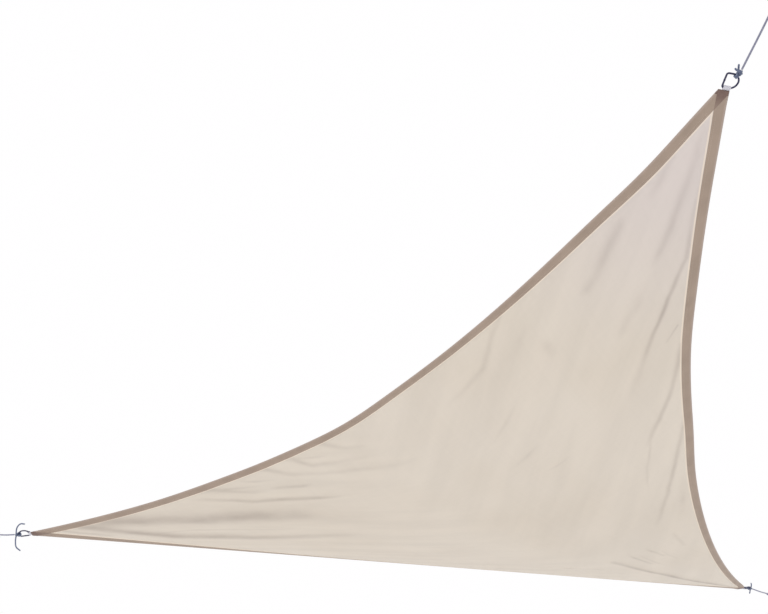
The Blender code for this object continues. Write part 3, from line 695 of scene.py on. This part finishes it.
def webbing_finish():
    material, tree, shader = new_finish("woven webbing", 0.75)
    split = tree.nodes.new("ShaderNodeSeparateXYZ")
    tree.links.new(uv(tree), split.inputs[0])
    ribs_turn = calc(tree, "MULTIPLY", split.outputs[1], RIB_RATE)
    ribs = calc(tree, "ABSOLUTE", calc(tree, "SINE", ribs_turn))
    picks_turn = calc(tree, "ADD", calc(tree, "MULTIPLY", split.outputs[0], PICK_RATE), ribs_turn)
    picks = calc(tree, "ABSOLUTE", calc(tree, "SINE", picks_turn))
    height = calc(tree, "MULTIPLY", calc(tree, "ADD", ribs, picks), 0.5)
    # Painted shade: darker in the grooves between ribs and picks, pale on their tops
    colour = blend(tree, height, WEBBING_GROOVE_SHADE, WEBBING_PALE)
    tree.links.new(colour, shader.inputs["Base Color"])
    bump(tree, shader, height, 0.0004)
    return material


def steel_finish():
    material, tree, shader = new_finish("polished steel", 0.2, 1.0)
    place = tree.nodes.new("ShaderNodeTexCoord").outputs["Object"]
    # Random worn spots between two levels of the steel's painted shade
    worn_shade_mix = ramp(tree, noise(tree, place, 180.0, 4.0), 0.35, 0.75)
    tree.links.new(blend(tree, worn_shade_mix, STEEL_SHADE_DEEP, STEEL_SHADE_PALE), shader.inputs["Base Color"])
    roughness = ramp(tree, noise(tree, place, 700.0, 2.0), 0.3, 0.7, 0.14, 0.30)
    tree.links.new(roughness, shader.inputs["Roughness"])
    bump(tree, shader, noise(tree, place, 900.0, 2.0), 0.00004)
    return material


def rope_finish(name, hollow_shade_colour, high_colour):
    material, tree, shader = new_finish(name, 0.7)
    split = tree.nodes.new("ShaderNodeSeparateXYZ")
    tree.links.new(uv(tree), split.inputs[0])
    strand_way = calc(tree, "ADD", split.outputs[0], split.outputs[1])
    fibres = calc(tree, "SINE", calc(tree, "MULTIPLY", strand_way, 30.0))
    raised = attribute(tree, "raised")
    # Painted shade: darker in the hollows between strands, paler on the raised strands
    colour = blend(tree, ramp(tree, raised, 0.0, 0.8), hollow_shade_colour, high_colour)
    fleck = noise(tree, tree.nodes.new("ShaderNodeTexCoord").outputs["Object"], 220.0)
    colour = blend(tree, ramp(tree, fleck, 0.45, 0.75, 0.0, 0.35), colour, ROPE_FLECK)
    tree.links.new(colour, shader.inputs["Base Color"])
    bump(tree, shader, fibres, 0.00015, 0.6)
    shader.inputs["Sheen Weight"].default_value = 0.2
    return material


# ---------------------------------------------------------------- pieces


def deselect_all():
    bpy.ops.object.select_all(action="DESELECT")


def finish_piece(piece, name, finish, slot, *nodes):
    piece.name = name
    piece.data.name = name
    if finish is not None:
        piece.data.materials.clear()
        piece.data.materials.append(finish)
    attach(piece, "root")
    if nodes:
        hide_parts(*nodes)
    return piece


def link_mesh(name, mesh):
    piece = bpy.data.objects.new(name, mesh)
    bpy.context.collection.objects.link(piece)
    return piece


def apply_modifier(piece, modifier):
    deselect_all()
    piece.select_set(True)
    bpy.context.view_layer.objects.active = piece
    bpy.ops.object.modifier_apply(modifier=modifier.name)


def apply_place(piece, frame):
    piece.matrix_world = frame
    deselect_all()
    piece.select_set(True)
    bpy.context.view_layer.objects.active = piece
    bpy.ops.object.transform_apply(location=True, rotation=True, scale=True)


def cloth_arrays():
    """Points, flat places, attributes and cells of the three corner patches, not yet welded."""
    points, flats, marks, cells = [], [], {}, []
    for corner in CORNERS:
        shares = patch_shares(corner, CELLS)
        flat = flat_place(shares[1], shares[2])
        edge_distances = {f"from_{edge.start}_{edge.end}": from_edge(edge, shares) for edge in EDGES}
        nearest = np.min(list(edge_distances.values()), axis=0)
        height = crease_height(flat) * (1 - np.exp(-((nearest / CREASE_FADE) ** 2)))
        frame, tip = corner_frame(corner)
        pull = np.array(frame.col[0][:3])
        point = smooth_point(shares) + height[..., None] * TOP_FACE
        from_tip = (np.array(frame.col[3][:3]) - tip * pull - point) @ pull
        attributes = {**edge_distances, "from_tip": from_tip,
                      "from_high": np.linalg.norm(point - POINTS["high"], axis=-1)}
        first = sum(len(item) for item in points)
        points.append(point.reshape(-1, 3))
        flats.append(flat.reshape(-1, 2))
        for name, values in attributes.items():
            marks.setdefault(name, []).append(values.reshape(-1))
        number = first + np.arange((CELLS + 1) ** 2).reshape(CELLS + 1, CELLS + 1)
        quads = np.stack([number[:-1, :-1], number[1:, :-1], number[1:, 1:], number[:-1, 1:]], -1)
        cells.append(quads.reshape(-1, 4))
    marks = {name: np.concatenate(values) for name, values in marks.items()}
    return np.concatenate(points), np.concatenate(flats), marks, np.concatenate(cells)


def make_cloth(top_finish, under_finish):
    points, flats, marks, cells = cloth_arrays()
    mesh = bpy.data.meshes.new("sail")
    mesh.from_pydata(points.tolist(), [], cells.tolist())
    for name, values in marks.items():
        mesh.attributes.new(name, "FLOAT", "POINT").data.foreach_set("value", values)
    layer = mesh.uv_layers.new(name="UVMap")
    corner_of = np.empty(len(mesh.loops), np.int32)
    mesh.loops.foreach_get("vertex_index", corner_of)
    layer.data.foreach_set("uv", flats[corner_of].reshape(-1))
    bm = bmesh.new()
    bm.from_mesh(mesh)
    bmesh.ops.remove_doubles(bm, verts=bm.verts, dist=1e-5)
    for corner in CORNERS:
        frame, tip = corner_frame(corner)
        pull = frame.col[0].to_3d()
        near = [v for v in bm.verts if (v.co - Vector(POINTS[corner])).length < 0.3]
        shape = [*near, *{e for v in near for e in v.link_edges}, *{f for v in near for f in v.link_faces}]
        bmesh.ops.bisect_plane(bm, geom=shape, plane_co=frame.col[3].to_3d() - tip * pull, plane_no=pull,
                               clear_outer=True, dist=1e-6)
    bmesh.ops.recalc_face_normals(bm, faces=bm.faces)
    bm.faces.ensure_lookup_table()
    if bm.faces[0].normal.dot(Vector(TOP_FACE)) < 0:
        bmesh.ops.reverse_faces(bm, faces=bm.faces)
    bm.normal_update()
    for vert in bm.verts:
        vert.co += vert.normal * CLOTH_THICKNESS / 2
    bm.to_mesh(mesh)
    bm.free()
    mesh.shade_smooth()
    sail = link_mesh("sail", mesh)
    sail.data.materials.append(top_finish)
    sail.data.materials.append(under_finish)
    group = sail.vertex_groups.new(name="layers")
    values = {name: np.empty(len(mesh.vertices)) for name in marks}
    for name, out in values.items():
        mesh.attributes[name].data.foreach_get("value", out)
    from_edges = np.stack([values[f"from_{edge.start}_{edge.end}"] for edge in EDGES])
    hems = (from_edges < HEM_WIDTH + 0.0004).sum(0)
    layers = np.clip(HEM_LAYERS * (hems + (values["from_tip"] < TIP_FOLD)), 0, 1)
    layers = np.where(from_edges.min(0) < 0.001, layers * 0.5, layers)
    for level in np.unique(layers.round(3)):
        group.add(np.flatnonzero(layers.round(3) == level).tolist(), float(level), "REPLACE")
    solid = sail.modifiers.new("thickness", "SOLIDIFY")
    solid.thickness = TIP_THICKNESS
    solid.offset = -1
    solid.vertex_group = "layers"
    solid.thickness_vertex_group = CLOTH_THICKNESS / TIP_THICKNESS
    solid.material_offset = 1
    solid.material_offset_rim = 1
    apply_modifier(sail, solid)
    return finish_piece(sail, "sail", None, "cloth", "sail_cloth")


def surface_at(edge, position, inset):
    """Points of the smooth cloth at positions along an edge and an inset from it."""
    across = inset * hem_scale(edge, position) / edge_reach(edge, position)
    shares = [None] * 3
    index, other = CORNERS.index(edge.start), CORNERS.index(edge.end)
    shares[index] = (1 - position) * (1 - across)
    shares[other] = position * (1 - across)
    shares[3 - index - other] = across
    return smooth_point(shares)


def stitch_places(edge, inset, pitch):
    """Middle, direction and normal of each stitch of a row along a hem."""
    fine = np.linspace(*STITCHED, 900)
    line = surface_at(edge, fine, inset)
    run = np.concatenate([[0], np.cumsum(np.linalg.norm(np.diff(line, axis=0), axis=1))])
    position = np.interp(np.arange(pitch, run[-1] - pitch, pitch), run, fine)
    middle = surface_at(edge, position, inset)
    along = surface_at(edge, position + 1e-4, inset) - surface_at(edge, position - 1e-4, inset)
    inward = surface_at(edge, position, inset + 1e-3) - middle
    along /= np.linalg.norm(along, axis=1)[:, None]
    normal = np.cross(along, inward)
    normal /= np.linalg.norm(normal, axis=1)[:, None]
    normal *= np.sign(normal @ TOP_FACE)[:, None]
    return middle, along, normal


def make_stitching(finish):
    """Two rows of stitches along each hem, on both faces."""
    deselect_all()
    bpy.ops.mesh.primitive_uv_sphere_add(segments=6, ring_count=3, radius=1,
                                         rotation=(0, math.radians(90), 0))
    stitch = bpy.context.object
    bpy.ops.object.transform_apply(rotation=True)
    stitch.data.calc_loop_triangles()
    shape = np.array([v.co for v in stitch.data.vertices]) * STITCH_SIZE
    faces = [tuple(face.vertices) for face in stitch.data.polygons]
    places = []
    hem_drop = CLOTH_THICKNESS / 2 - (CLOTH_THICKNESS + HEM_LAYERS * (TIP_THICKNESS - CLOTH_THICKNESS))
    for edge in EDGES:
        for inset in STITCH_INSETS:
            middle, along, normal = stitch_places(edge, inset, STITCH_PITCH)
            for lift in (CLOTH_THICKNESS / 2, hem_drop):
                places.append((middle + lift * normal, along, normal))
    verts, polygons, count = [], [], 0
    for middle, along, normal in places:
        side = np.cross(normal, along)
        axes = np.stack([along, side, normal], axis=1)
        placed = middle[:, None] + np.einsum("vk,nkc->nvc", shape, axes)
        for number in range(len(middle)):
            polygons += [tuple(i + count + number * len(shape) for i in face) for face in faces]
        count += placed.shape[0] * len(shape)
        verts.append(placed.reshape(-1, 3))
    bpy.data.objects.remove(stitch)
    mesh = bpy.data.meshes.new("hem_stitching")
    mesh.from_pydata(np.concatenate(verts).tolist(), [], polygons)
    mesh.shade_smooth()
    return finish_piece(link_mesh("hem_stitching", mesh), "hem_stitching", finish, "cloth")


def make_ring(corner, frame, far_wire, finish):
    """Round wire bent to a D: a straight bar with a weld, two tight corners and a half round."""
    round_radius = RING_LENGTH / 2
    middle = far_wire - round_radius
    low = RING_BAR_OFFSET - RING_DEPTH + round_radius
    bar = RING_BAR_OFFSET - RING_CORNER
    ends = round_radius - RING_CORNER
    deselect_all()
    bpy.ops.mesh.primitive_circle_add(vertices=20, radius=WIRE_RADIUS, rotation=(0, math.radians(90), 0),
                                      location=(middle - ends, RING_BAR_OFFSET, 0))
    ring = bpy.context.object
    bpy.ops.object.transform_apply(location=True, rotation=True)
    bpy.ops.object.mode_set(mode="EDIT")
    bpy.ops.mesh.select_all(action="SELECT")
    reached = middle - ends
    plain = ends - sum(run for run, _ in WELD) / 2
    for run, swell in ((plain, 1), *WELD, (plain, 1)):
        bpy.ops.mesh.extrude_region_move(TRANSFORM_OT_translate={"value": (run, 0, 0)})
        reached += run
        if swell != 1:
            bpy.ops.transform.resize(value=(1, swell, swell), center_override=(reached, RING_BAR_OFFSET, 0))
    spins = ((math.pi / 2, (middle + ends, bar, 0), 8, low - bar), (math.pi, (middle, low, 0), 36, bar - low),
             (math.pi / 2, (middle - ends, bar, 0), 8, 0))
    for angle, centre, steps, straight in spins:
        bpy.ops.mesh.spin(steps=steps, angle=angle, center=centre, axis=(0, 0, 1))
        if straight:
            bpy.ops.mesh.extrude_region_move(TRANSFORM_OT_translate={"value": (0, straight, 0)})
    bpy.ops.mesh.select_all(action="SELECT")
    bpy.ops.mesh.remove_doubles(threshold=1e-5)
    bpy.ops.mesh.normals_make_consistent(inside=False)
    bpy.ops.object.mode_set(mode="OBJECT")
    ring.data.shade_smooth()
    apply_place(ring, frame)
    return finish_piece(ring, f"ring_{corner}", finish, "steel", f"d_ring_{corner}")


def arc(centre, radius, first, last, count):
    for step in range(count + 1):
        angle = math.radians(first + (last - first) * step / count)
        yield centre[0] + radius * math.cos(angle), centre[1] + radius * math.sin(angle)


def make_webbing(corner, frame, tip, near_wire, finish):
    """A woven strap folded round the ring's wire, its two legs going into the mouth of the hem."""
    leg = (WEBBING_THICKNESS + GAP) / 2
    turn = WIRE_RADIUS + GAP + WEBBING_THICKNESS / 2
    path = [(-tip + MOUTH_GAP, leg), (-tip + 0.002, leg)]
    path += list(arc((near_wire, 0), turn, 115, 90, 5))
    path += list(arc((near_wire + WEBBING_SLACK, 0), turn, 90, -90, 20))
    path += list(arc((near_wire, 0), turn, -90, -115, 5))
    path += [(along, -height) for along, height in path[1::-1]]
    deselect_all()
    bpy.ops.mesh.primitive_grid_add(x_subdivisions=len(path) - 1, y_subdivisions=14, size=2)
    strap = bpy.context.object
    run = np.concatenate([[0], np.cumsum([math.dist(a, b) for a, b in zip(path, path[1:])])])
    stations = {}
    for vert in strap.data.vertices:
        number = round((vert.co.x + 1) / 2 * (len(path) - 1))
        along, height = path[number]
        stations[vert.index] = (run[number], vert.co.y * WEBBING_WIDTH / 2)
        vert.co = (along, WEBBING_OFFSET + vert.co.y * WEBBING_WIDTH / 2, height)
    for loop in strap.data.loops:
        strap.data.uv_layers.active.data[loop.index].uv = stations[loop.vertex_index]
    thick = strap.modifiers.new("thickness", "SOLIDIFY")
    thick.thickness = WEBBING_THICKNESS
    thick.offset = 0
    apply_modifier(strap, thick)
    soft = strap.modifiers.new("edges", "BEVEL")
    soft.width = 0.0004
    soft.segments = 2
    apply_modifier(strap, soft)
    strap.data.shade_smooth()
    apply_place(strap, frame)
    return finish_piece(strap, f"webbing_{corner}", finish, "webbing", f"webbing_loop_{corner}")


def smooth_route(points, spacing):
    """Points at an even spacing on a smooth curve through the given ones."""
    points = [np.asarray(point, float) for point in points]
    padded = [2 * points[0] - points[1], *points, 2 * points[-1] - points[-2]]
    fine = []
    for p0, p1, p2, p3 in zip(padded, padded[1:], padded[2:], padded[3:]):
        for t in np.linspace(0, 1, 20, endpoint=False):
            fine.append(0.5 * (2 * p1 + (p2 - p0) * t + (2 * p0 - 5 * p1 + 4 * p2 - p3) * t**2
                               + (3 * p1 - p0 - 3 * p2 + p3) * t**3))
    fine.append(points[-1])
    fine = np.array(fine)
    run = np.concatenate([[0], np.cumsum(np.linalg.norm(np.diff(fine, axis=0), axis=1))])
    even = np.linspace(0, run[-1], max(2, round(run[-1] / spacing)) + 1)
    return np.stack([np.interp(even, run, fine[:, axis]) for axis in range(3)], -1)


def braid(name, routes, finish, frame=None):
    """Braided rope along each route: a tube whose strands rise where they cross over, with sealed ends."""
    sides = STRAND_PAIRS * 4
    angles = np.arange(sides) * 2 * math.pi / sides
    verts, faces, uvs, raised, count = [], [], [], [], 0
    for given in routes:
        route = smooth_route(given, BRAID_STEP)
        along = np.gradient(route, axis=0)
        along /= np.linalg.norm(along, axis=1)[:, None]
        run = np.concatenate([[0], np.cumsum(np.linalg.norm(np.diff(route, axis=0), axis=1))])
        side = unit(np.cross(along[0], UP + 0.1 * np.array([1.0, 0.3, 0])))
        sides_at = []
        for direction in along:
            side = unit(side - side.dot(direction) * direction)
            sides_at.append(side)
        sides_at = np.array(sides_at)
        others = np.cross(along, sides_at)
        turn = STRAND_PAIRS * angles[None] / (2 * math.pi)
        climb = (run / BRAID_PITCH)[:, None]
        over = np.abs(np.cos(math.pi * (turn + climb)) * np.cos(math.pi * (turn - climb)))
        to_end = np.minimum(run, run[-1] - run)
        seal = np.sqrt(np.clip(to_end / SEALED_LENGTH, 0.03, 1))[:, None]
        radius = ROPE_RADIUS * (BRAID_RISE[0] + BRAID_RISE[1] * over) * seal
        ring = (route[:, None] + radius[..., None] * (np.cos(angles)[None, :, None] * sides_at[:, None]
                                                      + np.sin(angles)[None, :, None] * others[:, None]))
        verts.append(ring.reshape(-1, 3))
        raised.append(over.reshape(-1))
        around_and_along = [np.broadcast_to(turn, over.shape), np.broadcast_to(climb, over.shape)]
        uvs.append(np.stack(around_and_along, -1).reshape(-1, 2))
        number = count + np.arange(len(route) * sides).reshape(len(route), sides)
        following = np.roll(number, -1, axis=1)
        quads = np.stack([number[:-1], following[:-1], following[1:], number[1:]], -1).reshape(-1, 4)
        faces += [*quads.tolist(), number[0][::-1].tolist(), number[-1].tolist()]
        count += len(route) * sides
    mesh = bpy.data.meshes.new(name)
    mesh.from_pydata(np.concatenate(verts).tolist(), [], faces)
    mesh.attributes.new("raised", "FLOAT", "POINT").data.foreach_set("value", np.concatenate(raised))
    corner_of = np.empty(len(mesh.loops), np.int32)
    mesh.loops.foreach_get("vertex_index", corner_of)
    mesh.uv_layers.new(name="UVMap").data.foreach_set("uv", np.concatenate(uvs)[corner_of].reshape(-1))
    mesh.shade_smooth()
    piece = link_mesh(name, mesh)
    if frame is not None:
        apply_place(piece, frame)
    piece.data.materials.append(finish)
    return piece


def coil(centre, radius, first, turns, pitch, axis):
    """Points of rope wound round an axis, 12 to a turn: axis 0 is the pull and axis 1 the wire's own line."""
    for step in range(round(turns * 12) + 1):
        angle = math.radians(first) + step / 12 * 2 * math.pi
        shift = pitch * step / 12
        out, up = radius * math.cos(angle), radius * math.sin(angle)
        if axis == 0:
            yield centre[0] + shift, centre[1] + out, centre[2] + up
        else:
            yield centre[0] + out, centre[1] + shift, centre[2] + up


def make_ring_knot(corner, frame, far_wire, low, finish):
    """Two turns of rope round the ring's wire, two hitches round the standing part, and the free ends."""
    turn = WIRE_RADIUS + ROPE_RADIUS + 0.0004
    first_tail, second_tail = (turned_tail(corner, tail) for tail in ROPES[corner].tails)
    working = [(KNOT_RADIUS, 0, 0), (0.001, 0.0012, 0)]
    working += list(coil((-KNOT_REACH, -WIRE_TURN_PITCH, 0), turn, 0, WIRE_TURNS, WIRE_TURN_PITCH, 1))
    working += list(coil((HITCH_START, 0, 0), HITCH_RADIUS, 200, HITCH_TURNS, HITCH_PITCH, 0))
    working += first_tail[1:]
    other = [(-0.003, 0.001, 0.001), *second_tail]
    piece = braid(f"knot_{corner}", [working, other], finish, knot_frame(corner, frame, far_wire, low))
    return finish_piece(piece, f"knot_{corner}", finish, "cord", f"ring_knot_{corner}")


def make_tether(corner, frame, far_wire, low, finish):
    """The taut rope from the ring's knot, with the knotted eye that a hook takes."""
    knot = np.array(knot_frame(corner, frame, far_wire, low).translation)
    hook = POINTS[corner] + ROPES[corner].run * unit(ROPES[corner].pull)
    pull = unit(hook - knot)
    eye_knot = hook - (2 * EYE_RADIUS + EYE_KNOT_RADIUS * 0.8) * pull
    start = knot + (KNOT_RADIUS + GAP) * pull
    end = eye_knot - (EYE_KNOT_RADIUS + GAP) * pull
    middle = (start + end) / 2 - ROPE_SAG * UP
    tether = braid(f"tether_{corner}", [[start, middle, end]], finish)
    finish_piece(tether, f"tether_{corner}", finish, "cord", f"rope_{corner}")
    side = unit(np.cross(UP, pull))
    axes = np.stack([pull, side, np.cross(pull, side), eye_knot], axis=1)
    centre = EYE_RADIUS + EYE_KNOT_RADIUS * 0.8 + ROPE_RADIUS
    loop = [(-EYE_KNOT_RADIUS, 0, 0), (0, 0.001, 0)]
    for degrees in range(158, -159, -12):
        angle = math.radians(degrees)
        loop.append((centre + EYE_RADIUS * math.cos(angle), EYE_RADIUS * math.sin(angle), 0))
    loop += list(coil((EYE_HITCH_START, 0, 0), EYE_HITCH_RADIUS, 270, EYE_HITCH_TURNS, EYE_HITCH_PITCH, 0))
    loop += [(-0.006, 0.0075, 0.003), (-0.003, 0.012, 0.001)]
    eye = braid(f"eye_{corner}", [loop], finish, Matrix([*axes.tolist(), (0, 0, 0, 1)]))
    finish_piece(eye, f"eye_{corner}", finish, "cord", f"rope_eye_{corner}")
    path = smooth_route([start, middle, end], PATH_STEP)


# ---------------------------------------------------------------- stage

CAMERA_PLACE = (-1.081, -2.991, -1.431)
CAMERA_TILT = 100
LENS = 56.25
FLOOR_PLACE = (-0.9, 1.8, -3.03)
FLOOR_RADIUS = 14


def place_camera():
    data = bpy.data.cameras.new("camera")
    data.sensor_width = 36
    data.lens = LENS
    data.clip_end = 200
    camera = bpy.data.objects.new("camera", data)
    camera.location = CAMERA_PLACE
    camera.rotation_euler = (math.radians(CAMERA_TILT), 0, 0)
    bpy.context.collection.objects.link(camera)
    bpy.context.scene.camera = camera


def place_light(name, location, target, size, energy, colour):
    data = bpy.data.lights.new(name, "AREA")
    data.size = size
    data.energy = energy
    data.color = colour
    light = bpy.data.objects.new(name, data)
    light.location = location
    light.rotation_euler = (Vector(target) - Vector(location)).to_track_quat("-Z", "Y").to_euler()
    bpy.context.collection.objects.link(light)


def make_stage():
    bpy.context.scene.view_settings.view_transform = "Standard"
    world = bpy.data.worlds.new("pale studio")
    world.use_nodes = True
    world.node_tree.nodes["Background"].inputs["Color"].default_value = (1.0, 0.995, 1.0, 1)
    world.node_tree.nodes["Background"].inputs["Strength"].default_value = 1.0
    bpy.context.scene.world = world
    material, tree, shader = new_finish("pale floor", 0.9)
    shader.inputs["Base Color"].default_value = (0.93, 0.93, 0.93, 1)
    from_below = tree.nodes.new("ShaderNodeNewGeometry").outputs["Backfacing"]
    tree.links.new(calc(tree, "SUBTRACT", 1.0, from_below), shader.inputs["Alpha"])
    deselect_all()
    bpy.ops.mesh.primitive_circle_add(vertices=96, radius=FLOOR_RADIUS, fill_type="NGON",
                                      location=FLOOR_PLACE)
    floor = bpy.context.object
    floor.name = "floor"
    floor.data.materials.append(material)
    place_light("soft top light", (-3.5, -1.5, 4.0), (-0.9, 1.8, -1.0), 4.0, 60, (1.0, 0.98, 0.96))
    place_light("low fill", (-3.6, -2.4, -2.2), (-0.6, 1.8, -0.9), 1.6, 1, (1.0, 0.98, 0.95))


place_camera()
rope = rope_finish("braided rope", ROPE_SHADE_DEEP, ROPE_SHADE_PALE)
# Darker copy of the rope for the knots: painted shade
knotted = rope_finish("braided rope in knots", KNOT_SHADE_DEEP, KNOT_SHADE_PALE)
steel = steel_finish()
tape = webbing_finish()
weave = plain_weave_group()
creases = creases_group(crease_group())
for corner in CORNERS:
    frame, tip = corner_frame(corner)
    near_wire = -tip + TIP_TO_WIRE
    far_wire = near_wire + RING_LENGTH
    low = RING_BAR_OFFSET - RING_DEPTH + RING_LENGTH / 2
    knot = make_ring_knot(corner, frame, far_wire, low, knotted)
    make_tether(corner, frame, far_wire, low, rope)
    make_ring(corner, frame, far_wire, steel)
    make_webbing(corner, frame, tip, near_wire, tape)
# Lit and shaded copies of one cloth: painted shade of hems and tips at full on the underside, 0.6 on top
sail = make_cloth(cloth_finish("sail cloth, top face", weave, creases, 0.6),
                  cloth_finish("sail cloth, underside", weave, creases, 1.0))
stitching = make_stitching(thread_finish())
make_stage()
